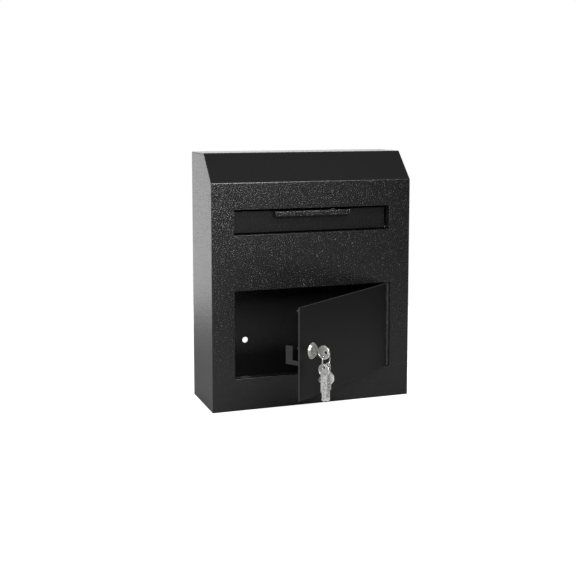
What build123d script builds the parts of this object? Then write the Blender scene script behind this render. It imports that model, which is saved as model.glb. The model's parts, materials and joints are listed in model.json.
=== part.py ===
"""Wall-mounted drop safe: a folded steel case with a pull-down hopper flap above
and a small inset door below, hung on a piano hinge and closed by a cam lock that
holds a key and a bunch of spare keys. Millimetres, +Z up. The origin is the centre
of the underside, -Y is the front. The door stands open as it is in use."""

import os
from math import atan2, cos, degrees, hypot, radians, sin, sqrt, tan

from build123d import *

os.makedirs("parts", exist_ok=True)

# Case
case_w = 305.0
case_h = 368.0
case_d = 108.0
sheet = 1.9
fold_z = 327.0
top_strip_d = 68.5
bend_r = 1.2
floor_flange_h = 14.0
wall_hole_r = 4.5
wall_hole_x = 72.0
wall_hole_low_z = 78.0
wall_hole_high_z = 290.0

# Deposit slot in the front sheet, its ends measured from the case's sides
slot_margin = 33.5
slot_z = 253.0
slot_h = 36.0
slot_return = 13.0

# Hopper flap, its pull lip, its tray and what carries them
flap_setback = 14.0
flap_sheet = 1.5
flap_side_gap = 1.0
flap_top_gap = 3.5
lip_w = 115.0
lip_reach = 12.0
lip_leg = 8.0
lip_bend_r = 0.8
rod_r = 1.5
barrel_r = 2.5
barrel_gap = 0.3
tray_flange_h = 16.0
tray_len = 55.0
tray_slope = 30.0
bracket_side_gap = 4.0
bracket_low = 8.5
bracket_h = 28.0
bracket_d = 39.0
bracket_foot = 12.0
retainer_r = 4.0
retainer_t = 0.8
stop_pin_r = 1.5
stop_pin_back = 17.5
stop_pin_reach = 10.0

# Guard plate inside, under the slot
guard_sheet = 1.5
guard_z = 205.0
guard_weld_h = 15.0
guard_drop = 25.0
guard_reach = 46.0
guard_side_gap = 1.0

# Door opening, its jambs measured from the case's sides
open_margin_left = 33.5
open_margin_right = 30.5
open_z = 46.5
open_h = 127.1
door_return = 15.0

# Door
door_angle = 36.0
door_t = 2.7
door_gap_z = 0.9
door_gap_free = 0.8
door_hinge_gap = 8.0
lug_w = 3.0
lug_h = 2.6
lug_t = 2.5
lug_top_drop = 6.0
lower_lug_t = 1.6
lower_lug_z = 117.0

# Piano hinge, its axis measured from the right jamb
hinge_inset = 3.9
hinge_depth = 2.0
knuckle_r = 1.9
pin_r = 0.85
knuckles = 9
knuckle_gap = 0.3
leaf_t = 1.0
door_leaf_w = 19.0
frame_leaf_w = 11.0
leaf_clear = 3.0

# Latch hook welded inside the free edge of the door
hook_t = 2.0
hook_inset = 1.0
hook_low_z = 95.0
hook_arm_h = 6.0
hook_leg_h = 25.0
hook_reach = 23.0
hook_leg_w = 11.0

# Door stop on the bottom return of the opening
stop_from_left = 118.0
stop_w = 12.0
stop_h = 6.0
stop_foot = 6.0

# Cam lock, its axis measured from the door's free edge
lock_edge = 29.5
head_r = 11.2
head_t = 3.0
head_bevel = 2.2
body_r = 9.5
body_flat = 16.0
body_len = 10.2
nut_af = 22.0
nut_t = 3.0
face_r = 7.4
face_t = 0.95
face_recess = 0.2
plug_r = 6.3
plug_len = 10.5
tail_side = 7.0
tail_len = 2.0
keyway_w = 2.2
keyway_h = 8.4
keyway_depth = 9.6
wafers = 5
wafer_t = 0.7
wafer_pitch = 1.7
wafer_first = 1.4
wafer_w = 5.0
wafer_h = 11.4
cam_t = 2.0
cam_w = 16.0
cam_len = 44.0
cam_hub_up = 10.0
cam_crank_up = 17.0
cam_crank = 5.6
washer_r = 6.0
washer_t = 1.0
screw_r = 2.0
screw_head_r = 4.0
screw_head_h = 3.0
fit_gap = 0.1
turn_gap = 0.05
part_gap = 0.3

# Key in the lock and the split ring through its bow
key_t = 2.0
key_blade_h = 7.2
key_bow_r = 9.4
key_bow_out = 18.4
key_hole_r = 2.6
key_hole_out = 22.1
bit_first = 0.6
bit_step = 0.35
ring_wire_r = 0.8
ring_r = 9.0
wire_gap = 0.1

# Spare keys: place along the ring, then the key's own sizes
round_key_shift = 4.8
round_key_bow_r = 8.6
round_key_len = 46.0
round_key_neck_len = 21.5
round_key_blade_w = 6.4
small_key_shift = 1.4
small_key_t = 1.4
small_key_bow_r = 6.5
small_key_len = 23.3
small_key_neck_len = 3.0
small_key_blade_w = 4.6
small_key_lean = 23.0
octagon_key_shift = -4.2
octagon_key_bow_r = 8.7
octagon_key_len = 47.4
octagon_key_neck_len = 6.3
octagon_key_blade_w = 5.8
octagon_key_tab_w = 8.0
octagon_sides = 8
octagon_key_drop = 15.9
octagon_key_twist = 17.0
spare_hole_r = 2.2
bow_rim = 2.6
neck_extra = 3.4

# Places worked out from the sizes above
front_y = -case_d / 2
back_y = case_d / 2
ridge_y = back_y - top_strip_d
roof_angle = degrees(atan2(case_h - fold_z, ridge_y - front_y))
inner_front_y = front_y + sheet
inner_back_y = back_y - sheet
inner_x = case_w / 2 - sheet
slot_w = case_w - 2 * slot_margin
slot_top_z = slot_z + slot_h
open_left = open_margin_left - case_w / 2
open_right = case_w / 2 - open_margin_right
open_w = open_right - open_left
open_mid_x = (open_left + open_right) / 2
door_low_z = open_z + door_gap_z
door_h = open_h - 2 * door_gap_z
hinge_x = open_right - hinge_inset
door_len = hinge_x - open_left - door_gap_free
lock_along = door_len - lock_edge
lock_z = door_low_z + door_h / 2
hinge_y = front_y + hinge_depth


def cover_line(inset):
    """Side view of the front, roof and top strip, moved inward by inset."""
    fold = (front_y + inset, fold_z - inset * tan(radians(90 - roof_angle) / 2))
    ridge = (ridge_y + inset * tan(radians(roof_angle) / 2), case_h - inset)
    return [(front_y + inset, 0), fold, ridge, (back_y, case_h - inset)]


def folds(sketch, inset):
    """Corners of a side-view sketch at its two bends."""
    bends = cover_line(inset)[1:3]
    return [v for v in sketch.vertices() if any(hypot(v.X - y, v.Y - z) < bend_r / 9 for y, z in bends)]


def front_plane(depth):
    """Upright plane seen from the front, depth behind the front face."""
    return Plane.XZ.offset(-front_y - depth)


# Along the open door: from the hinge axis to the free edge, and out of its face
to_free_edge = Vector(-cos(radians(door_angle)), -sin(radians(door_angle)), 0)
outward = Vector(sin(radians(door_angle)), -cos(radians(door_angle)), 0)
hinge_axis_foot = Vector(hinge_x, hinge_y, 0)
door_face_foot = hinge_axis_foot + outward * hinge_depth


def door_side(along):
    """Plane across the door at a distance from the hinge axis: x out, y up."""
    return Plane(origin=door_face_foot + to_free_edge * along, x_dir=outward, z_dir=to_free_edge)


def door_level(z):
    """Level plane on the door: x towards the hinge from its axis, y into the door."""
    return Plane(origin=door_face_foot + Vector(0, 0, z), x_dir=-to_free_edge, z_dir=(0, 0, 1))


def lock_plane(out):
    """Plane square to the lock's axis, at a distance out of the door's face."""
    foot = door_face_foot + to_free_edge * lock_along + outward * out
    return Plane(origin=foot + Vector(0, 0, lock_z), x_dir=-to_free_edge, z_dir=outward)


def save(part, name):
    part.label = name
    export_step(part, f"parts/{name}.step")


# Back and sides: one sheet folded forward into a channel, with four wall holes
with BuildPart() as body_shell:
    with BuildSketch(front_plane(case_d)):
        with Locations((0, (case_h - sheet) / 2)):
            Rectangle(case_w, case_h - sheet)
        with Locations(
            (-wall_hole_x, wall_hole_low_z),
            (wall_hole_x, wall_hole_low_z),
            (-wall_hole_x, wall_hole_high_z),
            (wall_hole_x, wall_hole_high_z),
        ):
            Circle(wall_hole_r, mode=Mode.SUBTRACT)
    extrude(amount=sheet)
    for side in (-1, 1):
        side_x = side * (case_w - sheet) / 2
        with BuildSketch(Plane.YZ.offset(side_x)) as side_sheet:
            with BuildLine():
                Polyline(*cover_line(sheet), (back_y, 0), close=True)
            make_face()
            fillet(folds(side_sheet, sheet), radius=bend_r)
        extrude(amount=sheet / 2, both=True)
save(body_shell.part, "body_shell")

# Front sheet, bent back over the roof and the top strip, its openings turned in
with BuildPart() as front_cover:
    with BuildSketch(Plane.YZ) as cover_section:
        with BuildLine():
            Polyline(*cover_line(0), *reversed(cover_line(sheet)), close=True)
        make_face()
        fillet(folds(cover_section, sheet), radius=bend_r)
        fillet(folds(cover_section, 0), radius=bend_r + sheet)
    extrude(amount=case_w / 2, both=True)
    with BuildSketch(front_plane(0)):
        with Locations((0, slot_z + slot_h / 2)):
            Rectangle(slot_w + 2 * sheet, slot_h + 2 * sheet)
    extrude(amount=-slot_return)
    with BuildSketch(front_plane(0)):
        with Locations((open_mid_x + sheet / 2, open_z + open_h / 2)):
            Rectangle(open_w + sheet, open_h + 2 * sheet)
    extrude(amount=-door_return)
    with BuildSketch(front_plane(0)):
        with Locations((0, slot_z + slot_h / 2)):
            Rectangle(slot_w, slot_h)
        with Locations((open_mid_x, open_z + open_h / 2)):
            Rectangle(open_w, open_h)
    extrude(amount=-case_d / 2, mode=Mode.SUBTRACT)
save(front_cover.part, "front_cover")

# Floor pan between the sides, its edges turned up
with BuildPart() as bottom_plate:
    with BuildSketch(Plane.XY):
        with Locations((0, (inner_front_y + inner_back_y) / 2)):
            Rectangle(2 * inner_x, inner_back_y - inner_front_y)
    extrude(amount=floor_flange_h)
    with BuildSketch(Plane.XY.offset(sheet)):
        with Locations((0, (inner_front_y + inner_back_y) / 2)):
            Rectangle(2 * (inner_x - sheet), inner_back_y - inner_front_y - 2 * sheet)
    extrude(amount=floor_flange_h, mode=Mode.SUBTRACT)
save(bottom_plate.part, "bottom_plate")

# Fixed guard plate under the slot: keeps a hand or hook from reaching down
guard_end = (inner_back_y - guard_reach, guard_z - guard_drop)
guard_angle = atan2(guard_drop, guard_reach)
guard_lift = guard_sheet / cos(guard_angle)
with BuildPart() as fishing_guard:
    with BuildSketch(Plane.YZ):
        with BuildLine():
            Polyline(
                (inner_back_y, guard_z),
                (inner_back_y, guard_z + guard_weld_h),
                (inner_back_y - guard_sheet, guard_z + guard_weld_h),
                (inner_back_y - guard_sheet, guard_z + guard_lift - guard_sheet * tan(guard_angle)),
                (guard_end[0], guard_end[1] + guard_lift),
                guard_end,
                close=True,
            )
        make_face()
    extrude(amount=inner_x - guard_side_gap, both=True)
save(fishing_guard.part, "fishing_guard")

# Hopper flap: face plate, rolled barrel along the bottom, pull lip at the top
flap_y = front_y + flap_setback
flap_half_w = slot_w / 2 - flap_side_gap
flap_top_z = slot_top_z - flap_top_gap
lip_y = flap_y - lip_reach
lip_low_z = flap_top_z - lip_leg
rod_y = flap_y + barrel_r
rod_z = slot_z + barrel_gap + barrel_r
with BuildPart() as hopper_flap:
    with BuildSketch(Plane.YZ):
        with BuildLine():
            Polyline(
                (flap_y, rod_z),
                (flap_y, flap_top_z),
                (flap_y + flap_sheet, flap_top_z),
                (flap_y + flap_sheet, rod_z),
                close=True,
            )
        make_face()
        with Locations((rod_y, rod_z)):
            Circle(barrel_r)
            Circle(rod_r + turn_gap, mode=Mode.SUBTRACT)
    extrude(amount=flap_half_w, both=True)
    with BuildSketch(Plane.YZ):
        with BuildLine():
            outside = FilletPolyline(
                (flap_y, flap_top_z),
                (lip_y, flap_top_z),
                (lip_y, lip_low_z),
                radius=lip_bend_r + flap_sheet,
            )
            inside = FilletPolyline(
                (flap_y, flap_top_z - flap_sheet),
                (lip_y + flap_sheet, flap_top_z - flap_sheet),
                (lip_y + flap_sheet, lip_low_z),
                radius=lip_bend_r,
            )
            Line(outside @ 0, inside @ 0)
            Line(outside @ 1, inside @ 1)
        make_face()
    extrude(amount=lip_w / 2, both=True)
save(hopper_flap.part, "hopper_flap")

# Tray spot-welded behind the flap: it slopes back, shuts the throat when the flap
# is pulled, and its weight closes the flap
tray_y = flap_y + flap_sheet
tray_rise = 1 / cos(radians(tray_slope))
tray_root_z = rod_z + barrel_r * tray_rise + (rod_y - tray_y) * tan(radians(tray_slope))
tray_end_y = tray_y + tray_len * cos(radians(tray_slope))
tray_end_z = tray_root_z - tray_len * sin(radians(tray_slope))
with BuildPart() as hopper_tray:
    with BuildSketch(Plane.YZ):
        with BuildLine():
            Polyline(
                (tray_y, tray_root_z),
                (tray_y, tray_root_z + tray_flange_h),
                (tray_y + flap_sheet, tray_root_z + tray_flange_h),
                (
                    tray_y + flap_sheet,
                    tray_root_z + flap_sheet * tray_rise - flap_sheet * tan(radians(tray_slope)),
                ),
                (tray_end_y, tray_end_z + flap_sheet * tray_rise),
                (tray_end_y, tray_end_z),
                close=True,
            )
        make_face()
    extrude(amount=flap_half_w, both=True)
save(hopper_tray.part, "hopper_tray")

# Brackets welded inside the front sheet, one at each end of the flap's rod
bracket_x = slot_w / 2 + bracket_side_gap
stop_pin_y = rod_y + stop_pin_back
stop_pin_z = (
    tray_root_z
    - (stop_pin_y - tray_y) * tan(radians(tray_slope))
    - (stop_pin_r + part_gap) * tray_rise
)
for side, bracket_name in ((-1, "rod_bracket_left"), (1, "rod_bracket_right")):
    bracket_mid_z = rod_z - bracket_low + bracket_h / 2
    with BuildPart() as rod_bracket:
        with BuildSketch(Plane.YZ.offset(side * (bracket_x + sheet / 2))):
            with Locations((inner_front_y + bracket_d / 2, bracket_mid_z)):
                Rectangle(bracket_d, bracket_h)
            with Locations((rod_y, rod_z)):
                Circle(rod_r + turn_gap, mode=Mode.SUBTRACT)
            with Locations((stop_pin_y, stop_pin_z)):
                Circle(stop_pin_r, mode=Mode.SUBTRACT)
        extrude(amount=sheet / 2, both=True)
        with BuildSketch(front_plane(sheet)):
            with Locations((side * (bracket_x + sheet + bracket_foot / 2), bracket_mid_z)):
                Rectangle(bracket_foot, bracket_h)
        extrude(amount=-sheet)
    save(rod_bracket.part, bracket_name)

# Rod through the flap's barrel and both brackets
rod_half = bracket_x + sheet + 2 * retainer_t
with BuildPart() as hopper_rod:
    with BuildSketch(Plane.YZ):
        with Locations((rod_y, rod_z)):
            Circle(rod_r)
    extrude(amount=rod_half, both=True)
save(hopper_rod.part, "hopper_rod")

# Push-on retainers outside the brackets
with BuildPart() as rod_retainers:
    for side in (-1, 1):
        with BuildSketch(Plane.YZ.offset(side * (bracket_x + sheet + retainer_t / 2))):
            with Locations((rod_y, rod_z)):
                Circle(retainer_r)
                Circle(rod_r + turn_gap, mode=Mode.SUBTRACT)
        extrude(amount=retainer_t / 2, both=True)
save(rod_retainers.part, "rod_retainers")

# Spacer tubes that keep the flap centred between the brackets
spacer_len = bracket_x - flap_half_w - 2 * part_gap
with BuildPart() as rod_spacers:
    for side in (-1, 1):
        with BuildSketch(Plane.YZ.offset(side * (bracket_x + flap_half_w) / 2)):
            with Locations((rod_y, rod_z)):
                Circle(barrel_r)
                Circle(rod_r + turn_gap, mode=Mode.SUBTRACT)
        extrude(amount=spacer_len / 2, both=True)
save(rod_spacers.part, "rod_spacers")

# Stop pins pressed into the brackets, where the tray comes to rest
with BuildPart() as tray_stop_pins:
    for side in (-1, 1):
        with BuildSketch(Plane.YZ.offset(side * (bracket_x + sheet))):
            with Locations((stop_pin_y, stop_pin_z)):
                Circle(stop_pin_r)
        extrude(amount=-side * (sheet + stop_pin_reach))
save(tray_stop_pins.part, "tray_stop_pins")

# Stop tab on the bottom return of the door opening, behind the closed door
stop_y = front_y + door_t + part_gap
with BuildPart() as door_stop:
    with BuildSketch(Plane.YZ.offset(open_left + stop_from_left)):
        with BuildLine():
            Polyline(
                (stop_y, open_z),
                (stop_y, open_z + stop_h),
                (stop_y + sheet, open_z + stop_h),
                (stop_y + sheet, open_z + sheet),
                (stop_y + sheet + stop_foot, open_z + sheet),
                (stop_y + sheet + stop_foot, open_z),
                close=True,
            )
        make_face()
    extrude(amount=stop_w)
save(door_stop.part, "door_stop")

# Door plate with its lock hole and two small lugs at the free edge
with BuildPart() as door_panel:
    with BuildSketch(door_level(door_low_z)):
        with Locations((-(door_hinge_gap + door_len) / 2, door_t / 2)):
            Rectangle(door_len - door_hinge_gap, door_t)
    extrude(amount=door_h)
    for lug_z, lug_depth in (
        (door_low_z + door_h - lug_top_drop, lug_t),
        (lower_lug_z, lower_lug_t),
    ):
        with BuildSketch(door_level(lug_z)):
            with Locations((lug_w / 2 - door_len, door_t + lug_depth / 2)):
                Rectangle(lug_w, lug_depth)
        extrude(amount=lug_h)
    with BuildSketch(lock_plane(0)):
        Circle(body_r + fit_gap)
        Rectangle(body_flat + 2 * fit_gap, 4 * body_r, mode=Mode.INTERSECT)
    extrude(amount=-door_t, mode=Mode.SUBTRACT)
save(door_panel.part, "door_panel")

# Hook plate welded across the inside of the free edge; the cam drops into its notch
with BuildPart() as latch_hook:
    with BuildSketch(door_side(door_len - hook_inset - hook_t)):
        with BuildLine():
            Polyline(
                (-door_t, hook_low_z),
                (-hook_reach, hook_low_z),
                (-hook_reach, hook_low_z + hook_leg_h),
                (-hook_reach + hook_leg_w, hook_low_z + hook_leg_h),
                (-hook_reach + hook_leg_w, hook_low_z + hook_arm_h),
                (-door_t, hook_low_z + hook_arm_h),
                close=True,
            )
        make_face()
    extrude(amount=hook_t)
save(latch_hook.part, "latch_hook")

# Piano hinge: knuckles take turns between the frame leaf and the door leaf
knuckle_pitch = door_h / knuckles
knuckle_len = knuckle_pitch - knuckle_gap
jamb_run = open_right - hinge_x
frame_tab = knuckle_r - leaf_t
with BuildPart() as frame_hinge_leaf:
    with BuildSketch(Plane(origin=(hinge_x, hinge_y, door_low_z))):
        with Locations((jamb_run - leaf_t / 2, frame_tab + frame_leaf_w / 2)):
            Rectangle(leaf_t, frame_leaf_w)
    extrude(amount=door_h)
    for i in range(0, knuckles, 2):
        knuckle_z = door_low_z + i * knuckle_pitch + knuckle_gap / 2
        with BuildSketch(Plane(origin=(hinge_x, hinge_y, knuckle_z))):
            Circle(knuckle_r)
            with Locations((jamb_run / 2, frame_tab + leaf_t / 2)):
                Rectangle(jamb_run, leaf_t)
            Circle(pin_r + turn_gap, mode=Mode.SUBTRACT)
        extrude(amount=knuckle_len)
save(frame_hinge_leaf.part, "frame_hinge_leaf")

with BuildPart() as door_hinge_leaf:
    with BuildSketch(door_level(door_low_z)):
        with Locations((-leaf_clear - door_leaf_w / 2, door_t + leaf_t / 2)):
            Rectangle(door_leaf_w, leaf_t)
    extrude(amount=door_h)
    for i in range(1, knuckles, 2):
        knuckle_z = door_low_z + i * knuckle_pitch + knuckle_gap / 2
        with BuildSketch(door_level(knuckle_z)):
            with Locations((0, hinge_depth)):
                Circle(knuckle_r)
            with Locations((-leaf_clear / 2, door_t + leaf_t / 2)):
                Rectangle(leaf_clear, leaf_t)
            with Locations((0, hinge_depth)):
                Circle(pin_r + turn_gap, mode=Mode.SUBTRACT)
        extrude(amount=knuckle_len)
save(door_hinge_leaf.part, "door_hinge_leaf")

with BuildPart() as hinge_pin:
    with BuildSketch(Plane(origin=(hinge_x, hinge_y, door_low_z))):
        Circle(pin_r)
    extrude(amount=door_h)
save(hinge_pin.part, "hinge_pin")

# Lock housing: bevelled round head outside, flatted threaded body through the door
with BuildPart() as lock_housing:
    with BuildSketch(lock_plane(0)):
        Circle(head_r)
    extrude(amount=head_t)
    chamfer(lock_housing.faces().sort_by(Axis(lock_plane(0).origin, outward))[-1].edges(), head_bevel)
    with BuildSketch(lock_plane(0)):
        Circle(body_r)
        Rectangle(body_flat, 4 * body_r, mode=Mode.INTERSECT)
    extrude(amount=-body_len)
    with BuildSketch(lock_plane(head_t)):
        Circle(face_r + turn_gap)
    extrude(amount=-(face_t + face_recess + turn_gap), mode=Mode.SUBTRACT)
    with BuildSketch(lock_plane(head_t)):
        Circle(plug_r + turn_gap)
    extrude(amount=-(head_t + body_len), mode=Mode.SUBTRACT)
save(lock_housing.part, "lock_housing")

# Hexagon nut that clamps the housing to the door
with BuildPart() as lock_nut:
    with BuildSketch(lock_plane(-door_t)):
        RegularPolygon(radius=nut_af / 2, side_count=6, major_radius=False)
        Circle(body_r + turn_gap, mode=Mode.SUBTRACT)
    extrude(amount=-nut_t)
save(lock_nut.part, "lock_nut")

# Plug: turns in the housing, slotted for the key and the wafers, square at the back
plug_face_out = head_t - face_recess
with BuildPart() as lock_plug:
    with BuildSketch(lock_plane(plug_face_out)):
        Circle(face_r)
    extrude(amount=-face_t)
    with BuildSketch(lock_plane(plug_face_out)):
        Circle(plug_r)
    extrude(amount=-(plug_face_out + plug_len))
    with BuildSketch(lock_plane(-plug_len)):
        Rectangle(tail_side, tail_side)
    extrude(amount=-tail_len)
    with BuildSketch(lock_plane(plug_face_out)):
        Rectangle(keyway_w, keyway_h)
    extrude(amount=-(plug_face_out + keyway_depth), mode=Mode.SUBTRACT)
    for i in range(wafers):
        with BuildSketch(lock_plane(-wafer_first - i * wafer_pitch + fit_gap)):
            Rectangle(wafer_w + 2 * fit_gap, 3 * plug_r)
        extrude(amount=-(wafer_t + 2 * fit_gap), mode=Mode.SUBTRACT)
    with BuildSketch(lock_plane(-plug_len - tail_len)):
        Circle(screw_r + turn_gap)
    extrude(amount=plug_len + tail_len - keyway_depth - part_gap, mode=Mode.SUBTRACT)
save(lock_plug.part, "lock_plug")

# Wafers, drawn level with the plug by the key that stands in it
with BuildPart() as plug_wafers:
    for i in range(wafers):
        with BuildSketch(lock_plane(-wafer_first - i * wafer_pitch)):
            Rectangle(wafer_w, wafer_h)
            Rectangle(keyway_w + fit_gap, keyway_h + fit_gap, mode=Mode.SUBTRACT)
        extrude(amount=-wafer_t)
save(plug_wafers.part, "plug_wafers")

# Cranked cam on the plug's square: points up when unlocked
cam_depth = plug_len + fit_gap
cam_tip_depth = cam_depth - cam_crank
cam_slope = cam_t / 2
with BuildPart() as lock_cam:
    with BuildSketch(door_side(lock_along - cam_w / 2)):
        with BuildLine():
            Polyline(
                (-cam_depth, lock_z - cam_w / 2),
                (-cam_depth, lock_z + cam_hub_up),
                (-cam_tip_depth, lock_z + cam_crank_up),
                (-cam_tip_depth, lock_z + cam_len),
                (-cam_tip_depth - cam_t, lock_z + cam_len),
                (-cam_tip_depth - cam_t, lock_z + cam_crank_up + cam_slope),
                (-cam_depth - cam_t, lock_z + cam_hub_up + cam_slope),
                (-cam_depth - cam_t, lock_z - cam_w / 2),
                close=True,
            )
        make_face()
    extrude(amount=cam_w)
    with BuildSketch(lock_plane(-cam_depth - 2 * cam_t)):
        Rectangle(tail_side + fit_gap, tail_side + fit_gap)
    extrude(amount=3 * cam_t, mode=Mode.SUBTRACT)
    hub_corners = lock_cam.edges().filter_by(Axis((0, 0, 0), outward))
    fillet(hub_corners.group_by(Axis.Z)[0], radius=cam_w / 2 - part_gap)
    fillet(hub_corners.group_by(Axis.Z)[-1], radius=cam_w / 8)
save(lock_cam.part, "lock_cam")

with BuildPart() as cam_washer:
    with BuildSketch(lock_plane(-cam_depth - cam_t)):
        Circle(washer_r)
        Circle(screw_r + fit_gap, mode=Mode.SUBTRACT)
    extrude(amount=-washer_t)
save(cam_washer.part, "cam_washer")

screw_seat = cam_depth + cam_t + washer_t
with BuildPart() as cam_screw:
    with BuildSketch(lock_plane(-screw_seat)):
        Circle(screw_head_r)
    extrude(amount=-screw_head_h)
    with BuildSketch(lock_plane(-screw_seat)):
        Circle(screw_r)
    extrude(amount=screw_seat - keyway_depth - 2 * part_gap)
save(cam_screw.part, "cam_screw")

# Key in the lock: round bow outside, bitted blade in the keyway
key_tip = part_gap - keyway_depth
with BuildPart() as lock_key:
    with BuildSketch(door_side(lock_along)):
        with Locations(((key_bow_out + key_tip) / 2, lock_z)):
            Rectangle(key_bow_out - key_tip, key_blade_h)
        with Locations((key_bow_out, lock_z)):
            Circle(key_bow_r)
        with Locations((key_hole_out, lock_z)):
            Circle(key_hole_r, mode=Mode.SUBTRACT)
        for i in range(wafers):
            cut_out = -wafer_first - i * wafer_pitch - wafer_t / 2
            with Locations((cut_out, lock_z - key_blade_h / 2)):
                RegularPolygon(radius=bit_first + i * 2 % 3 * bit_step, side_count=4, mode=Mode.SUBTRACT)
    extrude(amount=key_t / 2, both=True)
save(lock_key.part, "lock_key")

# Split ring: its plane hangs level with the door, its wire on the edge of the bow's hole
ring_top_z = lock_z - key_hole_r + ring_wire_r + wire_gap
ring_centre_z = ring_top_z - ring_r
with BuildPart() as key_ring:
    with BuildSketch(door_level(ring_centre_z)):
        with Locations((ring_r - lock_along, -key_hole_out)):
            Circle(ring_wire_r)
    revolve(axis=Axis(door_level(ring_centre_z).from_local_coords((-lock_along, 0, 0)), outward))
save(key_ring.part, "key_ring")


def hanging_plane(shift, lean, twist=0):
    """Plane of a key on the ring, its origin on the wire: x out, y up the key."""
    wire_z = ring_centre_z - sqrt(ring_r**2 - shift**2)
    foot = door_face_foot + to_free_edge * (lock_along + shift) + outward * key_hole_out
    tilt = radians(lean)
    across = outward.rotate(Axis.Z, twist) * cos(tilt) - Vector(0, 0, 1) * sin(tilt)
    facing = to_free_edge.rotate(Axis.Z, twist)
    return Plane(origin=foot + Vector(0, 0, wire_z), x_dir=across, z_dir=facing)


def hole_top(shift, thickness, twist=0):
    """Height of a key's hole above the wire's centre, clear of the curving wire."""
    inner_r = ring_r - ring_wire_r
    turned = radians(twist)
    plate_edge = abs(shift) + thickness / 2 / cos(turned) + ring_wire_r * tan(turned)
    return sqrt(ring_r**2 - shift**2) - sqrt(inner_r**2 - plate_edge**2) + wire_gap


def hanging_blade(bow_low, neck_len, length, width):
    """Neck and blade of a hanging key with its row of cuts, drawn in an open sketch."""
    blade_top = bow_low + bow_rim
    neck_low = bow_low - neck_len
    with Locations((0, (blade_top - length) / 2)):
        Rectangle(width, length + blade_top)
    with Locations((0, (blade_top + neck_low) / 2)):
        Rectangle(width + neck_extra, blade_top - neck_low)
    for i in range(wafers):
        with Locations((-width / 2, -length + width / 2 + i * width / 3)):
            RegularPolygon(radius=bit_first + i * 2 % 3 * bit_step, side_count=4, mode=Mode.SUBTRACT)
    with Locations((-width / 2, -length), (width / 2, -length)):
        RegularPolygon(radius=width / 4, side_count=4, mode=Mode.SUBTRACT)


# Spare keys with round bows
for key_name, shift, lean, thickness, bow_r, neck_len, length, width in (
    (
        "spare_key_round",
        round_key_shift,
        0,
        key_t,
        round_key_bow_r,
        round_key_neck_len,
        round_key_len,
        round_key_blade_w,
    ),
    (
        "spare_key_small",
        small_key_shift,
        small_key_lean,
        small_key_t,
        small_key_bow_r,
        small_key_neck_len,
        small_key_len,
        small_key_blade_w,
    ),
):
    top = hole_top(shift, thickness)
    bow_y = top + bow_rim - bow_r
    with BuildPart() as round_key:
        with BuildSketch(hanging_plane(shift, lean)):
            hanging_blade(bow_y - bow_r, neck_len, length, width)
            with Locations((0, bow_y)):
                Circle(bow_r)
            with Locations((0, top - spare_hole_r)):
                Circle(spare_hole_r, mode=Mode.SUBTRACT)
        extrude(amount=thickness / 2, both=True)
    save(round_key.part, key_name)

# Spare key with an octagonal bow that hangs from a tab
octagon_top = hole_top(octagon_key_shift, key_t, octagon_key_twist)
with BuildPart() as spare_key_octagon:
    with BuildSketch(hanging_plane(octagon_key_shift, 0, octagon_key_twist)):
        hanging_blade(
            -octagon_key_drop - octagon_key_bow_r,
            octagon_key_neck_len,
            octagon_key_len,
            octagon_key_blade_w,
        )
        with Locations((0, -octagon_key_drop)):
            RegularPolygon(
                radius=octagon_key_bow_r,
                side_count=octagon_sides,
                major_radius=False,
                rotation=180 / octagon_sides,
            )
        with Locations((0, (octagon_top - octagon_key_drop) / 2)):
            Rectangle(octagon_key_tab_w, octagon_key_drop + octagon_top)
        with Locations((0, octagon_top + bow_rim - octagon_key_tab_w / 2)):
            Circle(octagon_key_tab_w / 2)
        with Locations((0, octagon_top - spare_hole_r)):
            Circle(spare_hole_r, mode=Mode.SUBTRACT)
    extrude(amount=key_t / 2, both=True)
save(spare_key_octagon.part, "spare_key_octagon")
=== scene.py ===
"""A wall-mounted drop safe in black powder coat, its small door open with a bunch of keys in the lock.
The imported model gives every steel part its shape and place. This script gives the finishes, and
builds the keys and their split ring with the detail of the real ones. Metres, +Z up, front to -Y."""

import json
import math

import bmesh
import bpy
from mathutils import Matrix, Vector


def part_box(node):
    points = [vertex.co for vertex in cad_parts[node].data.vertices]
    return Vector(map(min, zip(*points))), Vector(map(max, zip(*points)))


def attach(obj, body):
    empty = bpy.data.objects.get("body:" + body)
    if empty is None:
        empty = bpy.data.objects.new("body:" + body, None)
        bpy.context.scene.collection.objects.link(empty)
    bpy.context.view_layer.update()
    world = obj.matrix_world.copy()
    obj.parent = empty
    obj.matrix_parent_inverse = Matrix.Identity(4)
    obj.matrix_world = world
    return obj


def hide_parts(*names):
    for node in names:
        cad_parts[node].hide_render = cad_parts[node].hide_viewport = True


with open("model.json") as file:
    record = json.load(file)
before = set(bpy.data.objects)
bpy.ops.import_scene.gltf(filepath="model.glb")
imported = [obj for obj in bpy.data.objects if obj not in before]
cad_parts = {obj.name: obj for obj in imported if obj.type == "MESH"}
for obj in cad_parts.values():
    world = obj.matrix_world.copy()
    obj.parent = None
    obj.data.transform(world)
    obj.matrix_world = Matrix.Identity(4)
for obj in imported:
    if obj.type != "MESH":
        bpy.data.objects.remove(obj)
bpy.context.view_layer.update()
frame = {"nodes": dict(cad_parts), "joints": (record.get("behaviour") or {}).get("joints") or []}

# Camera: to the left of the safe and a little above it, as in the photograph. Part of the downward
# look is lens shift, which keeps the safe's upright edges close to parallel.
camera_place = (-0.5164, -1.4114, 0.4248)
camera_turn = math.radians(19.36)
camera_dip = math.radians(6.3)
camera_data = bpy.data.cameras.new("camera")
camera_data.lens = 63.3
camera_data.shift_y = -0.11
camera = bpy.data.objects.new("camera", camera_data)
camera.location = camera_place
camera.rotation_euler = (math.pi / 2 - camera_dip, 0, -camera_turn)
bpy.context.scene.collection.objects.link(camera)
bpy.context.scene.camera = camera
bpy.context.scene.view_settings.view_transform = "Standard"


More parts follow.
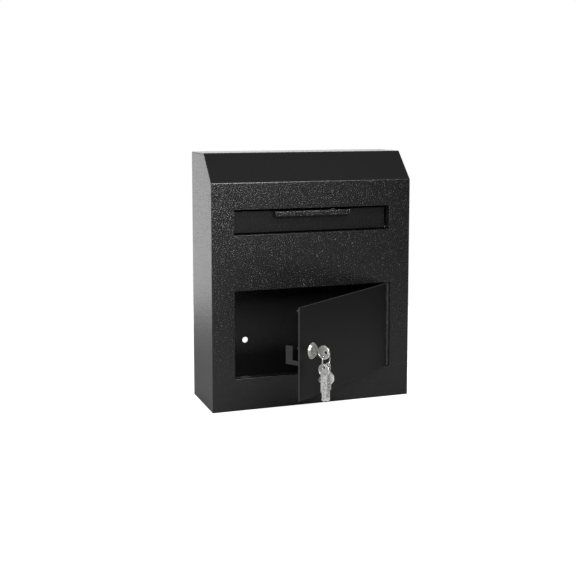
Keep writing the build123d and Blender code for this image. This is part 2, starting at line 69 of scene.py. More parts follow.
# Studio: a pale floor and a pale room, which the camera sees as white. They light the safe at a plain
# level, its gloss shows the room's brighter and dimmer walls, and the floor keeps a faint shadow.
def node_maker(tree):
    """A function that adds a shader node to the tree, with values for its inputs and its settings."""

    def add(kind, values=None, **settings):
        node = tree.nodes.new("ShaderNode" + kind)
        for name, setting in settings.items():
            setattr(node, name, setting)
        for socket, value in (values or {}).items():
            node.inputs[socket].default_value = value
        return node

    return add


def new_material(name):
    """An empty material, with functions that link and add its nodes, and its output node."""
    material = bpy.data.materials.new(name)
    material.use_nodes = True
    tree = material.node_tree
    tree.nodes.clear()
    output = tree.nodes.new("ShaderNodeOutputMaterial")
    return material, tree.links.new, node_maker(tree), output


def studio_floor():
    """Pale floor. For the camera most of its light is its own, so that it is white beside the safe."""
    material, link, add, output = new_material("studio_floor")
    lit = add("BsdfDiffuse", {"Color": (0.45, 0.45, 0.45, 1)})
    own = add("Emission", {"Strength": 0.84})
    seen = add("AddShader")
    path = add("LightPath")
    pick = add("MixShader")
    link(lit.outputs[0], seen.inputs[0])
    link(own.outputs[0], seen.inputs[1])
    link(path.outputs["Is Camera Ray"], pick.inputs[0])
    link(lit.outputs[0], pick.inputs[1])
    link(seen.outputs[0], pick.inputs[2])
    link(pick.outputs[0], output.inputs["Surface"])
    return material


floor_radius = 0.75
floor_gap = 0.0003
floor_edge_points = 96
floor_edge = [math.tau * i / floor_edge_points for i in range(floor_edge_points)]
floor_mesh = bpy.data.meshes.new("studio_floor")
floor_mesh.from_pydata(
    [(floor_radius * math.cos(a), floor_radius * math.sin(a), -floor_gap) for a in floor_edge],
    [],
    [range(floor_edge_points)],
)
floor = bpy.data.objects.new("studio_floor", floor_mesh)
floor.data.materials.append(studio_floor())
bpy.context.scene.collection.objects.link(floor)


def studio_room():
    """Pale room, white to the camera, whose bright walls stand behind the safe and to its left."""
    world = bpy.data.worlds.new("studio_room")
    world.use_nodes = True
    add = node_maker(world.node_tree)
    link = world.node_tree.links.new
    light = world.node_tree.nodes["Background"]
    light.inputs["Color"].default_value = (1, 1, 1, 1)
    towards = add("TexCoord")
    parts = add("SeparateXYZ")
    link(towards.outputs["Generated"], parts.inputs[0])

    def wall(direction, start, end, low, high):
        """Light that goes from low to high as a ray turns from start to end along a direction."""
        reach = {"From Min": start, "From Max": end, "To Min": low, "To Max": high}
        ramp = add("MapRange", reach, interpolation_type="SMOOTHSTEP")
        link(parts.outputs[direction], ramp.inputs["Value"])
        return ramp.outputs["Result"]

    def total(first, second):
        node = add("Math", operation="ADD")
        link(first, node.inputs[0])
        link(second, node.inputs[1])
        return node.outputs[0]

    back_wall = wall("Y", start=0.35, end=0.9, low=0.175, high=1.75)
    left_wall = wall("X", start=-0.45, end=-0.95, low=0.0, high=1.0)
    dim_corner = wall("X", start=0.25, end=0.7, low=0.0, high=-0.12)
    ceiling = wall("Z", start=0.3, end=0.9, low=0.0, high=0.08)
    path = add("LightPath")
    seen = add("Math", operation="MAXIMUM")
    link(path.outputs["Is Camera Ray"], seen.inputs[0])
    link(path.outputs["Is Transmission Ray"], seen.inputs[1])
    level = add("Mix", {3: 1.0}, data_type="FLOAT")
    link(seen.outputs[0], level.inputs["Factor"])
    link(total(total(back_wall, left_wall), total(dim_corner, ceiling)), level.inputs[2])
    link(level.outputs[0], light.inputs["Strength"])
    return world


bpy.context.scene.world = studio_room()


def soft_box(name, place, aim, width, height, watts):
    """A soft rectangular lamp that points at aim."""
    lamp = bpy.data.lights.new(name, "AREA")
    lamp.shape = "RECTANGLE"
    lamp.size = width
    lamp.size_y = height
    lamp.energy = watts
    stand = bpy.data.objects.new(name, lamp)
    stand.location = place
    stand.rotation_euler = (Vector(aim) - Vector(place)).to_track_quat("-Z", "Y").to_euler()
    stand.visible_camera = False
    bpy.context.scene.collection.objects.link(stand)


soft_box("key_lamp", (-0.35, -1.9, 0.95), aim=(0, 0, 0.18), width=1.0, height=0.45, watts=35)
soft_box("grazing_lamp", (-1.1, -0.45, 0.95), aim=(-0.05, -0.05, 0.25), width=0.5, height=0.5, watts=4)
soft_box("fold_lamp", (0.2, -1.0, 1.18), aim=(-0.1, -0.05, 0.33), width=0.35, height=0.25, watts=13)
soft_box("side_lamp", (1.5, 0.1, 0.9), aim=(0.1, 0, 0.2), width=0.5, height=0.5, watts=2.5)


# Case: sheet steel folded and spot-welded, then sprayed with a black powder coat that cures to a
# fine hammered grain. The front sheet runs up over the roof; back, sides and floor pan sit behind it.
def hammered_powder_coat(
    name, grain, depth, thickness=None, roughness=0.3, shine=0.5, tone=0.0025, painted_highlight_tone=None
):
    """Black powder coat with rounded grains, grain metres across and depth metres high.
    thickness adds the nodes that say where the coat is full, 1, and where it is thin and smooth.
    A last tone, where given, is painted on the full coat, lighter than the smooth coat's: a painted
    highlight."""
    material, link, add, output = new_material(name)
    paint = add("BsdfPrincipled", {"Roughness": roughness, "Specular IOR Level": shine})
    place = add("TexCoord")
    cells = add("TexVoronoi", {"Scale": 1 / grain, "Smoothness": 0.5}, feature="SMOOTH_F1")
    clouds = add("TexNoise", {"Scale": 1 / grain, "Detail": 0.5})
    domes = add("Math", {1: -0.2}, operation="MULTIPLY_ADD")
    bumps = add("Bump", {"Distance": depth})
    shade = add("MapRange", {"From Min": 0.3, "From Max": 0.7})
    dark = (0.7 * tone, 0.7 * tone, 0.74 * tone, 1)
    light = (1.2 * tone, 1.2 * tone, 1.24 * tone, 1)
    colour = add("MixRGB", {1: dark, 2: light})
    link(place.outputs["Object"], cells.inputs["Vector"])
    link(place.outputs["Object"], clouds.inputs["Vector"])
    link(cells.outputs["Distance"], domes.inputs[0])
    link(clouds.outputs["Fac"], domes.inputs[2])
    link(domes.outputs[0], bumps.inputs["Height"])
    link(clouds.outputs["Fac"], shade.inputs["Value"])
    link(shade.outputs[0], colour.inputs[0])
    if thickness:
        fullness = thickness(add, link, place.outputs["Object"])
        link(fullness, bumps.inputs["Strength"])
    if thickness and painted_highlight_tone:
        smooth_colour = colour
        colour = add("MixRGB", {2: (painted_highlight_tone, painted_highlight_tone, painted_highlight_tone, 1)})
        link(fullness, colour.inputs[0])
        link(smooth_colour.outputs[0], colour.inputs[1])
    link(colour.outputs[0], paint.inputs["Base Color"])
    link(bumps.outputs["Normal"], paint.inputs["Normal"])
    link(paint.outputs[0], output.inputs["Surface"])
    return material


def finish_node(node_name, material, edge=0.0):
    """Gives a CAD node its finish and, if edge is given, rounds its sharp edges by that much."""
    node = frame["nodes"][node_name]
    node.data.materials.clear()
    node.data.materials.append(material)
    if edge:
        joined = node.modifiers.new("joined_faces", "WELD")
        joined.merge_threshold = 0.000005
        rounded = node.modifiers.new("rounded_edges", "BEVEL")
        rounded.width = edge
        rounded.segments = 2
        rounded.limit_method = "ANGLE"
        rounded.angle_limit = math.radians(40)
        node.modifiers.new("even_shading", "WEIGHTED_NORMAL")


roof_angle = math.radians(46.07)
roof_normal = (0, -math.sin(roof_angle), math.cos(roof_angle))
case_middle = (0, 0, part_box("body_shell")[1][2] / 2)


def full_outside(add, link, place):
    """Full coat on faces that look away from the middle of the case. It is a third as full inside,
    and also on the roof, which lay level while the powder melted, so that it flowed out smooth."""
    surface = add("NewGeometry")
    from_middle = add("VectorMath", {1: case_middle}, operation="SUBTRACT")
    facing_out = add("VectorMath", operation="DOT_PRODUCT")
    off_inside = add("MapRange", {"From Min": -0.001, "From Max": 0.001, "To Min": 0.33})
    along_roof = add("VectorMath", {1: roof_normal}, operation="DOT_PRODUCT")
    off_roof = add("MapRange", {"From Min": 0.97, "From Max": 0.76, "To Min": 0.3})
    both = add("Math", operation="MULTIPLY")
    link(place, from_middle.inputs[0])
    link(from_middle.outputs[0], facing_out.inputs[0])
    link(surface.outputs["True Normal"], facing_out.inputs[1])
    link(facing_out.outputs["Value"], off_inside.inputs["Value"])
    link(surface.outputs["True Normal"], along_roof.inputs[0])
    link(along_roof.outputs["Value"], off_roof.inputs["Value"])
    link(off_roof.outputs[0], both.inputs[0])
    link(off_inside.outputs[0], both.inputs[1])
    return both.outputs[0]


case_coat = hammered_powder_coat("case_powder_coat", grain=0.0015, depth=0.00056, thickness=full_outside)
for case_sheet in ("body_shell", "front_cover", "bottom_plate"):
    finish_node(case_sheet, case_coat, edge=0.0006)


# Guard plate across the back and the two rod brackets: plain folded sheet, welded inside and
# sprayed thinly, so the paint is smooth with a faint orange peel and some rubbed, shinier patches.
def inner_satin_paint():
    """Smooth satin black paint with a slight orange peel and uneven gloss."""
    material, link, add, output = new_material("inner_satin_paint")
    paint = add("BsdfPrincipled", {"Base Color": (0.005, 0.005, 0.0052, 1), "Specular IOR Level": 0.3})
    place = add("TexCoord")
    peel = add("TexNoise", {"Scale": 420, "Detail": 3})
    bumps = add("Bump", {"Distance": 0.00003})
    patches = add("TexNoise", {"Scale": 28, "Detail": 4})
    gloss = add("MapRange", {"To Min": 0.35, "To Max": 0.49})
    link(place.outputs["Object"], peel.inputs["Vector"])
    link(place.outputs["Object"], patches.inputs["Vector"])
    link(peel.outputs["Fac"], bumps.inputs["Height"])
    link(patches.outputs["Fac"], gloss.inputs["Value"])
    link(gloss.outputs[0], paint.inputs["Roughness"])
    link(bumps.outputs["Normal"], paint.inputs["Normal"])
    link(paint.outputs[0], output.inputs["Surface"])
    return material


inner_paint = inner_satin_paint()
for inner_sheet in ("fishing_guard", "rod_bracket_left", "rod_bracket_right"):
    finish_node(inner_sheet, inner_paint, edge=0.0004)


# Flap rod with its retainers and spacers, and the tray's stop pins: drawn steel wire and small
# stampings in bright zinc, which shows a fine spangle and rub marks.
def shaded(colour, factor):
    """The colour made darker or lighter by a factor."""
    return (*(min(factor * c, 1) for c in colour), 1)


def plated_metal(name, colour, roughness, patch=0.004, mark=0.00025):
    """Plated metal: patches of lighter and duller plate, patch metres across, and fine marks."""
    material, link, add, output = new_material(name)
    metal = add("BsdfPrincipled", {"Metallic": 1})
    place = add("TexCoord")
    patches = add("TexNoise", {"Scale": 1 / patch, "Detail": 5})
    spread = add("MapRange", {"From Min": 0.32, "From Max": 0.68})
    tint = add("MixRGB", {1: shaded(colour, 0.72), 2: shaded(colour, 1.12)})
    gloss = add("MapRange", {"To Min": roughness + 0.12, "To Max": roughness - 0.08})
    marks = add("TexNoise", {"Scale": 1 / mark, "Detail": 2})
    bumps = add("Bump", {"Distance": mark / 9})
    link(place.outputs["Object"], patches.inputs["Vector"])
    link(place.outputs["Object"], marks.inputs["Vector"])
    link(patches.outputs["Fac"], spread.inputs["Value"])
    link(spread.outputs[0], tint.inputs[0])
    link(spread.outputs[0], gloss.inputs["Value"])
    link(marks.outputs["Fac"], bumps.inputs["Height"])
    link(tint.outputs[0], metal.inputs["Base Color"])
    link(gloss.outputs[0], metal.inputs["Roughness"])
    link(bumps.outputs["Normal"], metal.inputs["Normal"])
    link(metal.outputs[0], output.inputs["Surface"])
    return material


zinc_plate = plated_metal("zinc_plate", (0.55, 0.56, 0.57), roughness=0.34)
for rod_piece in ("hopper_rod", "rod_retainers", "rod_spacers", "tray_stop_pins"):
    finish_node(rod_piece, zinc_plate)

# Hopper flap and the tray welded behind it: thinner sheet in the same coat. Less powder reaches
# into the slot, so the coat is smooth there, but it has its full grain on the pull lip.
lip_back = (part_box("hopper_flap")[0][1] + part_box("hopper_rod")[0][1]) / 2
lip_blend = 0.002


def full_on_lip(add, link, place):
    """Full coat in front of the flap's own sheet, a third of it on and behind that sheet."""
    axes = add("SeparateXYZ")
    reach = {"From Min": lip_back + lip_blend, "From Max": lip_back - lip_blend, "To Min": 0.35}
    share = add("MapRange", reach)
    link(place, axes.inputs[0])
    link(axes.outputs["Y"], share.inputs["Value"])
    return share.outputs[0]


flap_coat = hammered_powder_coat("flap_powder_coat", grain=0.0015, depth=0.0007, thickness=full_on_lip)
for hopper_sheet in ("hopper_flap", "hopper_tray"):
    finish_node(hopper_sheet, flap_coat, edge=0.0003)

# Door: a flat inset plate with two small lugs, coated lying flat, so the powder flowed out smooth
# on its faces and kept its grain on its edges. The stop tab that it closes against is spot-welded
# to the opening's bottom return.
joint_of = {joint["name"]: joint for joint in frame["joints"]}
outward = Vector(joint_of["lock_turn"]["axis"])


def full_coat_and_highlight_on_edges(add, link, place):
    """Full coat on the door's edges and lugs, a twentieth of it on its two faces. The door's painted
    highlight, a lighter tone, follows the same share.
    """
    surface = add("TexCoord")
    through = add("VectorMath", {1: outward}, operation="DOT_PRODUCT")
    either_face = add("Math", operation="ABSOLUTE")
    share = add("MapRange", {"From Min": 0.95, "From Max": 0.7, "To Min": 0.05})
    link(surface.outputs["Normal"], through.inputs[0])
    link(through.outputs["Value"], either_face.inputs[0])
    link(either_face.outputs[0], share.inputs["Value"])
    return share.outputs[0]


# Where the door's coat is full, on its edges and lugs, it is also painted lighter: a painted highlight
# along the edges.
door_coat = hammered_powder_coat(
    "door_powder_coat_painted_highlight",
    grain=0.0018,
    depth=0.0008,
    thickness=full_coat_and_highlight_on_edges,
    roughness=0.38,
    shine=0.12,
    tone=0.003,
    painted_highlight_tone=0.024,
)
finish_node("door_panel", door_coat, edge=0.0005)
finish_node("door_stop", door_coat, edge=0.0003)

# Piano hinge: two steel leaves with their edges rolled into knuckles, on a zinc-plated wire pin.
# The leaves are welded to the door and the frame and coated with them. The pin stays bare.
# Their coat is painted much lighter than the door's: a painted highlight on the knuckles and leaves.
hinge_painted_highlight_coat = hammered_powder_coat("hinge_powder_coat_painted_highlight", grain=0.0016, depth=0.0005, tone=0.014)
for leaf in ("frame_hinge_leaf", "door_hinge_leaf"):
    finish_node(leaf, hinge_painted_highlight_coat)
finish_node("hinge_pin", zinc_plate)

# Latch hook: a flat steel hook, blanked from sheet and welded on edge inside the door's free edge.
# It was coated together with the door, and the powder came out thin and even on it.
hook_coat = hammered_powder_coat("hook_powder_coat", grain=0.0016, depth=0.00028)
finish_node("latch_hook", hook_coat, edge=0.0003)

# Cam lock: die-cast housing and plug in satin nickel, faced on a lathe, so fine rings run round
# its axis. Behind the door it has a steel nut, cam, washer and screw in zinc, and brass wafers.
def joint_place(joint_name):
    """A point on a turning joint's axis, in metres."""
    return Vector(joint_of[joint_name]["pos_m"])


lock_foot = joint_place("lock_turn")
lock_upright = outward.rotation_difference(Vector((0, 0, 1)))
wave_length = math.tau / 20  # of a wave texture whose scale is 1


def turned_nickel(name, colour, roughness, ring_pitch):
    """Nickel plate over turned rings about the lock's axis, ring_pitch metres apart."""
    material, link, add, output = new_material(name)
    metal = add("BsdfPrincipled", {"Metallic": 1})
    place = add("TexCoord")
    from_foot = {"Rotation": lock_upright.to_euler(), "Location": -(lock_upright @ lock_foot)}
    on_axis = add("Mapping", from_foot)
    ring_look = {"Scale": wave_length / ring_pitch, "Distortion": 0.6}
    rings = add("TexWave", ring_look, wave_type="RINGS", rings_direction="Z")
    bumps = add("Bump", {"Distance": ring_pitch / 30})
    patches = add("TexNoise", {"Scale": 420, "Detail": 4})
    spread = add("MapRange", {"From Min": 0.3, "From Max": 0.7})
    tint = add("MixRGB", {1: shaded(colour, 0.68), 2: shaded(colour, 1.1)})
    gloss = add("MapRange", {"To Min": roughness - 0.06, "To Max": roughness + 0.1})
    link(place.outputs["Object"], on_axis.inputs["Vector"])
    link(on_axis.outputs[0], rings.inputs["Vector"])
    link(rings.outputs["Fac"], bumps.inputs["Height"])
    link(place.outputs["Object"], patches.inputs["Vector"])
    link(patches.outputs["Fac"], spread.inputs["Value"])
    link(spread.outputs[0], tint.inputs[0])
    link(patches.outputs["Fac"], gloss.inputs["Value"])
    link(tint.outputs[0], metal.inputs["Base Color"])
    link(gloss.outputs[0], metal.inputs["Roughness"])
    link(bumps.outputs["Normal"], metal.inputs["Normal"])
    link(metal.outputs[0], output.inputs["Surface"])
    return material


housing_nickel = turned_nickel("housing_nickel", (0.53, 0.53, 0.52), roughness=0.3, ring_pitch=0.0005)
plug_nickel = turned_nickel("plug_nickel", (0.38, 0.38, 0.37), roughness=0.36, ring_pitch=0.0003)
wafer_brass = plated_metal("wafer_brass", (0.72, 0.56, 0.28), roughness=0.34, patch=0.002)
finish_node("lock_housing", housing_nickel)
finish_node("lock_plug", plug_nickel)
finish_node("plug_wafers", wafer_brass)
for lock_piece in ("lock_nut", "lock_cam", "cam_washer", "cam_screw"):
    finish_node(lock_piece, zinc_plate)

# Key in the lock: stamped from nickel-plated brass, with a raised rim round its bow, a boss round
# the hole, a milled groove along each face of the blade and cuts in its lower edge. Its mesh is
# drawn in millimetres, blade down, and then put in its place.
upward = Vector((0, 0, 1))
to_free_edge = Vector(joint_of["ring_swing"]["axis"])
millimetre = 0.001
same_point = 0.0005


def arc(centre, radius, start, end, steps):
    """Points along an arc from start to end degrees."""
    turns = [math.radians(start + (end - start) * i / steps) for i in range(steps + 1)]
    return [(centre[0] + radius * math.cos(a), centre[1] + radius * math.sin(a)) for a in turns]


def circle(centre, radius, steps=40):
    return arc(centre, radius, 0, 360, steps)[:-1]


def flat_plate(outlines, thickness, edge):
    """Closed plate from flat outlines, the first its outside and the rest its holes; edge rounds it."""
    curve = bpy.data.curves.new("plate", "CURVE")
    curve.dimensions = "2D"
    curve.fill_mode = "BOTH"
    curve.extrude = thickness / 2 - edge
    curve.bevel_depth = edge
    curve.bevel_resolution = 1
    curve.offset = -edge
    for outline in outlines:
        spline = curve.splines.new("POLY")
        spline.points.add(len(outline) - 1)
        for point, (x, y) in zip(spline.points, outline):
            point.co = (x, y, 0, 1)
        spline.use_cyclic_u = True
    holder = bpy.data.objects.new("plate", curve)
    mesh = bpy.data.meshes.new_from_object(holder)
    bpy.data.objects.remove(holder)
    bpy.data.curves.remove(curve)
    shape = bmesh.new()
    shape.from_mesh(mesh)
    bmesh.ops.remove_doubles(shape, verts=shape.verts, dist=same_point)
    bmesh.ops.recalc_face_normals(shape, faces=shape.faces)
    shape.to_mesh(mesh)
    shape.free()
    return mesh


def carved(mesh, cutters):
    """The mesh with every cutter mesh taken out of it."""
    collection = bpy.context.scene.collection
    blank = bpy.data.objects.new("blank", mesh)
    collection.objects.link(blank)
    tools = []
    for cutter in cutters:
        tool = bpy.data.objects.new("cutter", cutter)
        collection.objects.link(tool)
        tools.append(tool)
        cut = blank.modifiers.new("cut", "BOOLEAN")
        cut.operation = "DIFFERENCE"
        cut.solver = "EXACT"
        cut.object = tool
    ready = blank.evaluated_get(bpy.context.evaluated_depsgraph_get())
    result = bpy.data.meshes.new_from_object(ready)
    for spent in (blank, *tools):
        bpy.data.objects.remove(spent)
    return result


def pocket(outlines, face, depth):
    """Cutter that takes depth off a plate's face at height face, on the side that face's sign names."""
    cutter = flat_plate(outlines, 2 * depth, 0)
    cutter.transform(Matrix.Translation((0, 0, face)))
    return cutter


cut_count = 5
cut_shallow = 0.5
cut_step = 0.3
cut_flat = 0.12
tip_roundness = 0.6


def key_outline(bow, neck_half, neck_low, blade_half, tip, cut_first, cut_pitch):
    """Bow, neck and blade of a key that points down, with the cuts in its left edge."""
    shoulder = neck_low - (neck_half - blade_half)
    points = [*bow, (-neck_half, neck_low), (-blade_half, shoulder)]
    for i in reversed(range(cut_count)):
        middle = cut_first + i * cut_pitch
        deep = cut_shallow + (i * 2 % 3) * cut_step
        points.append((-blade_half, middle + deep + cut_flat))
        points.append((-blade_half + deep, middle + cut_flat))
        points.append((-blade_half + deep, middle - cut_flat))
        points.append((-blade_half, middle - deep - cut_flat))
    tip_top = tip + tip_roundness * blade_half
    points += [(x, tip_top + y * tip_roundness) for x, y in arc((0, 0), blade_half, 180, 360, steps=14)]
    return [*points, (blade_half, shoulder), (neck_half, neck_low)]


plate_edge = 0.22
rim_width = 1.5
boss_width = 0.9
pocket_depth = 0.3
groove_width = 1.3
groove_depth = 0.4


def groove(side, low, high, thickness):
    """Cutter for a round-ended groove along the blade, on the face and beside the line that side names."""
    half = groove_width / 2
    outline = arc((side * half, high), half, 0, 180, steps=8)
    outline += arc((side * half, low), half, 180, 360, steps=8)
    return pocket([outline], side * thickness / 2, groove_depth)


def bow_with_neck(bow_y, bow_r, neck_half):
    """Outline of a round bow, from the neck's right side over the top to its left side."""
    open_angle = math.degrees(math.asin(neck_half / bow_r))
    return arc((0, bow_y), bow_r, -90 + open_angle, 270 - open_angle, steps=48)


def round_key(bow_y, bow_r, hole_y, hole_r, thickness, grooves, **blade):
    """Key with a round bow, its bow's panels and blade's grooves cut in."""
    outline = key_outline(bow_with_neck(bow_y, bow_r, blade["neck_half"]), **blade)
    boss = circle((0, hole_y), hole_r + boss_width)
    panel = [circle((0, bow_y), bow_r - rim_width), boss]
    cutters = [pocket(panel, side * thickness / 2, pocket_depth) for side in (-1, 1)]
    cutters += [groove(side, *grooves, thickness) for side in (-1, 1)]
    return carved(flat_plate([outline, circle((0, hole_y), hole_r)], thickness, plate_edge), cutters)


def placed(foot, across, along):
    """Place of a piece drawn with x across and y along, its z square to both."""
    through = across.cross(along)
    turn = Matrix((across, along, through)).transposed().to_4x4()
    return Matrix.Translation(foot) @ turn


def add_piece(name, mesh, place, materials, body, node):
    """Puts a mesh drawn in millimetres in its place and makes it stand for a CAD node. A second
    material goes on the floors of its pockets."""
    mesh.materials.clear()
    for material in materials:
        mesh.materials.append(material)
    if len(materials) > 1:
        top = max(vertex.co.z for vertex in mesh.vertices)
        for face in mesh.polygons:
            sunk = abs(face.center.z) < top - pocket_depth / 2
            level = abs(face.normal.z) > 0.9
            face.material_index = 1 if sunk and level else 0
    mesh.transform(place @ Matrix.Scale(millimetre, 4))
    piece = bpy.data.objects.new(name, mesh)
    bpy.context.scene.collection.objects.link(piece)
    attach(piece, body)
    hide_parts(node)


def tumbled_key_nickel(name, colour, roughness):
    """Tumbled nickel plate: blotches where it has worn, and fine scratches along the hanging keys."""
    material, link, add, output = new_material(name)
    metal = add("BsdfPrincipled", {"Metallic": 1})
    place = add("TexCoord")
    blotches = add("TexNoise", {"Scale": 330, "Detail": 4})
    spread = add("MapRange", {"From Min": 0.35, "From Max": 0.65})
    tint = add("MixRGB", {1: shaded(colour, 0.62), 2: shaded(colour, 1.15)})
    gloss = add("MapRange", {"To Min": roughness + 0.12, "To Max": roughness - 0.1})
    drawn_out = add("Mapping", {"Scale": (4200, 4200, 260)})
    scratches = add("TexNoise", {"Scale": 1, "Detail": 3})
    bumps = add("Bump", {"Distance": 0.00004})
    link(place.outputs["Object"], blotches.inputs["Vector"])
    link(place.outputs["Object"], drawn_out.inputs["Vector"])
    link(drawn_out.outputs[0], scratches.inputs["Vector"])
    link(blotches.outputs["Fac"], spread.inputs["Value"])
    link(spread.outputs[0], tint.inputs[0])
    link(spread.outputs[0], gloss.inputs["Value"])
    link(scratches.outputs["Fac"], bumps.inputs["Height"])
    link(tint.outputs[0], metal.inputs["Base Color"])
    link(gloss.outputs[0], metal.inputs["Roughness"])
    link(bumps.outputs["Normal"], metal.inputs["Normal"])
    link(metal.outputs[0], output.inputs["Surface"])
    return material


# A key's raised parts are polished by wear, and its sunk panels and grooves stay duller.
worn_nickel = tumbled_key_nickel("key_nickel", (0.76, 0.76, 0.75), roughness=0.31)
sunk_nickel = tumbled_key_nickel("sunk_key_nickel", (0.5, 0.5, 0.49), roughness=0.42)

lock_key_bow_out = 18.4
lock_key_bow_r = 9.4
lock_key_hole_out = 22.1
lock_key_tip = -9.3
lock_key = round_key(
    bow_y=lock_key_bow_out,
    bow_r=lock_key_bow_r,
    hole_y=lock_key_hole_out,
    hole_r=2.6,
    thickness=2.0,
    grooves=(lock_key_tip + 1, lock_key_bow_out - lock_key_bow_r - 1),
    neck_half=3.6,
    neck_low=5.0,
    blade_half=3.55,
    tip=lock_key_tip,
    cut_first=-6.5,
    cut_pitch=1.7,
)
add_piece(
    "key_in_lock",
    lock_key,
    placed(lock_foot, upward, outward),
    (worn_nickel, sunk_nickel),
    body="key",
    node="lock_key",
)

# Spare keys on the ring: one with a round bow and a long neck, one small and thin that leans
# inward, and one with an eight-sided bow under a tab, whose panel is as bright as its rim. All
# three are stamped like the first.
spare_hole_r = 2.2
above_hole = 2.6
ring_r = 9.0
ring_wire_r = 0.8
wire_gap = 0.1


def hole_top(shift, thickness, twist=0.0):
    """Height of a hanging key's hole above the wire's middle, clear of the curving wire. The key
    hangs shift beside the ring's middle and is turned by twist."""
    plate_out = shift + thickness / 2 / math.cos(twist) + ring_wire_r * math.tan(twist)
    inner_r = ring_r - ring_wire_r
    return math.sqrt(ring_r**2 - shift**2) - math.sqrt(inner_r**2 - plate_out**2) + wire_gap


round_thickness = 2.0
round_hole_top = hole_top(shift=4.8, thickness=round_thickness)
round_bow_r = 8.6
round_bow_y = round_hole_top + above_hole - round_bow_r
round_tip = -46.0
round_spare = round_key(
    bow_y=round_bow_y,
    bow_r=round_bow_r,
    hole_y=round_hole_top - spare_hole_r,
    hole_r=spare_hole_r,
    thickness=round_thickness,
    grooves=(round_tip + 2, round_bow_y - round_bow_r - 3),
    neck_half=4.9,
    neck_low=round_bow_y - round_bow_r - 21.5,
    blade_half=3.2,
    tip=round_tip,
    cut_first=-42.8,
    cut_pitch=2.1,
)
add_piece(
    "round_spare_key",
    round_spare,
    placed(joint_place("round_key_swing"), outward, upward),
    (worn_nickel, sunk_nickel),
    body="round_key",
    node="spare_key_round",
)

small_thickness = 1.4
small_hole_top = hole_top(shift=1.4, thickness=small_thickness)
small_bow_r = 6.5
small_bow_y = small_hole_top + above_hole - small_bow_r
small_tip = -23.3
small_spare = round_key(
    bow_y=small_bow_y,
    bow_r=small_bow_r,
    hole_y=small_hole_top - spare_hole_r,
    hole_r=spare_hole_r,
    thickness=small_thickness,
    grooves=(small_tip + 1.8, small_bow_y - small_bow_r - 2),
    neck_half=4.0,
    neck_low=small_bow_y - small_bow_r - 3,
    blade_half=2.3,
    tip=small_tip,
    cut_first=-21.0,
    cut_pitch=1.53,
)
small_lean = math.radians(23)
small_across = outward * math.cos(small_lean) - upward * math.sin(small_lean)
add_piece(
    "small_spare_key",
    small_spare,
    placed(joint_place("small_key_swing"), small_across, to_free_edge.cross(small_across)),
    (worn_nickel, sunk_nickel),
    body="small_key",
    node="spare_key_small",
)

octagon_thickness = 2.0
octagon_twist = math.radians(17)
octagon_hole_top = hole_top(shift=4.2, thickness=octagon_thickness, twist=octagon_twist)
octagon_flat = 8.7
octagon_bow_y = -15.9
octagon_bow_low = octagon_bow_y - octagon_flat
octagon_neck_half = 4.6
octagon_tip = -47.4
corner_angle = 22.5
octagon_corner = octagon_flat * math.tan(math.radians(corner_angle))
tab_half = 4.0
tab_y = octagon_hole_top + above_hole - tab_half
octagon_bow = [
    (octagon_neck_half, octagon_bow_low),
    (octagon_flat, octagon_bow_y - octagon_corner),
    (octagon_flat, octagon_bow_y + octagon_corner),
    (tab_half, octagon_bow_y + octagon_flat),
    *arc((0, tab_y), tab_half, 0, 180, steps=20),
    (-tab_half, octagon_bow_y + octagon_flat),
    (-octagon_flat, octagon_bow_y + octagon_corner),
    (-octagon_flat, octagon_bow_y - octagon_corner),
    (-octagon_neck_half, octagon_bow_low),
]
octagon_outline = key_outline(
    octagon_bow,
    neck_half=octagon_neck_half,
    neck_low=octagon_bow_low - 6.3,
    blade_half=2.9,
    tip=octagon_tip,
    cut_first=-44.1,
    cut_pitch=2.2,
)
panel_r = (octagon_flat - rim_width) / math.cos(math.radians(corner_angle))
octagon_panel = arc((0, octagon_bow_y), panel_r, corner_angle, 360 + corner_angle, steps=8)[:-1]
octagon_hole = circle((0, octagon_hole_top - spare_hole_r), spare_hole_r)
octagon_cutters = []
for side in (-1, 1):
    octagon_cutters.append(pocket([octagon_panel], side * octagon_thickness / 2, pocket_depth))
for side in (-1, 1):
    octagon_cutters.append(groove(side, octagon_tip + 1.9, octagon_bow_low - 2, octagon_thickness))
octagon_spare = carved(
    flat_plate([octagon_outline, octagon_hole], octagon_thickness, plate_edge), octagon_cutters
)
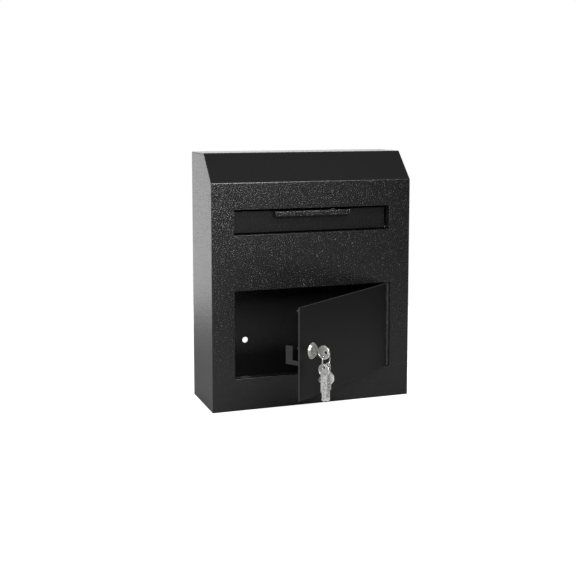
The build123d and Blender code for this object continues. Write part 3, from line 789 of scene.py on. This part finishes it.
octagon_across = Matrix.Rotation(octagon_twist, 3, "Z") @ outward
add_piece(
    "octagon_spare_key",
    octagon_spare,
    placed(joint_place("octagon_key_swing"), octagon_across, upward),
    (worn_nickel,),
    body="octagon_key",
    node="spare_key_octagon",
)


# Split ring: flattened spring wire wound twice round, bright nickel, which crosses from the first
# turn to the second in one short slant beside its two ends.
def split_ring(mean_r, wire_w, wire_t, gap, slant=20, steps=150, corner=0.3):
    """Two turns of flat wire about z, gap apart; slant is half the crossing's angle in degrees."""
    start = slant
    end = 720 - slant
    section = []
    for x, y, first in ((1, 1, 0), (-1, 1, 90), (-1, -1, 180), (1, -1, 270)):
        middle = (x * (wire_w / 2 - corner), y * (wire_t / 2 - corner))
        section += arc(middle, corner, first, first + 90, steps=3)
    shape = bmesh.new()
    loops = []
    for i in range(steps + 1):
        angle = start + (end - start) * i / steps
        crossed = min(max((angle - 360 + slant) / (2 * slant), 0), 1)
        lift = (3 - 2 * crossed) * crossed * crossed - 0.5
        turn = math.radians(angle)
        loop = []
        for radial, axial in section:
            radius = mean_r + radial
            height = axial + lift * (wire_t + gap)
            loop.append(shape.verts.new((radius * math.cos(turn), radius * math.sin(turn), height)))
        loops.append(loop)
    for first, second in zip(loops, loops[1:]):
        for j in range(len(section)):
            k = (j + 1) % len(section)
            shape.faces.new((first[j], first[k], second[k], second[j]))
    shape.faces.new(loops[0])
    shape.faces.new(reversed(loops[-1]))
    bmesh.ops.recalc_face_normals(shape, faces=shape.faces)
    for face in shape.faces:
        face.smooth = len(face.verts) == 4
    mesh = bpy.data.meshes.new("split_ring")
    shape.to_mesh(mesh)
    shape.free()
    return mesh


ring_centre = joint_place("ring_swing") - upward * ring_r * millimetre
ring_steel = plated_metal("ring_steel", (0.62, 0.62, 0.63), roughness=0.2, patch=0.003, mark=0.0002)
add_piece(
    "split_ring",
    split_ring(ring_r, wire_w=1.35, wire_t=0.68, gap=0.04),
    placed(ring_centre, upward, to_free_edge),
    (ring_steel,),
    body="ring",
    node="key_ring",
)
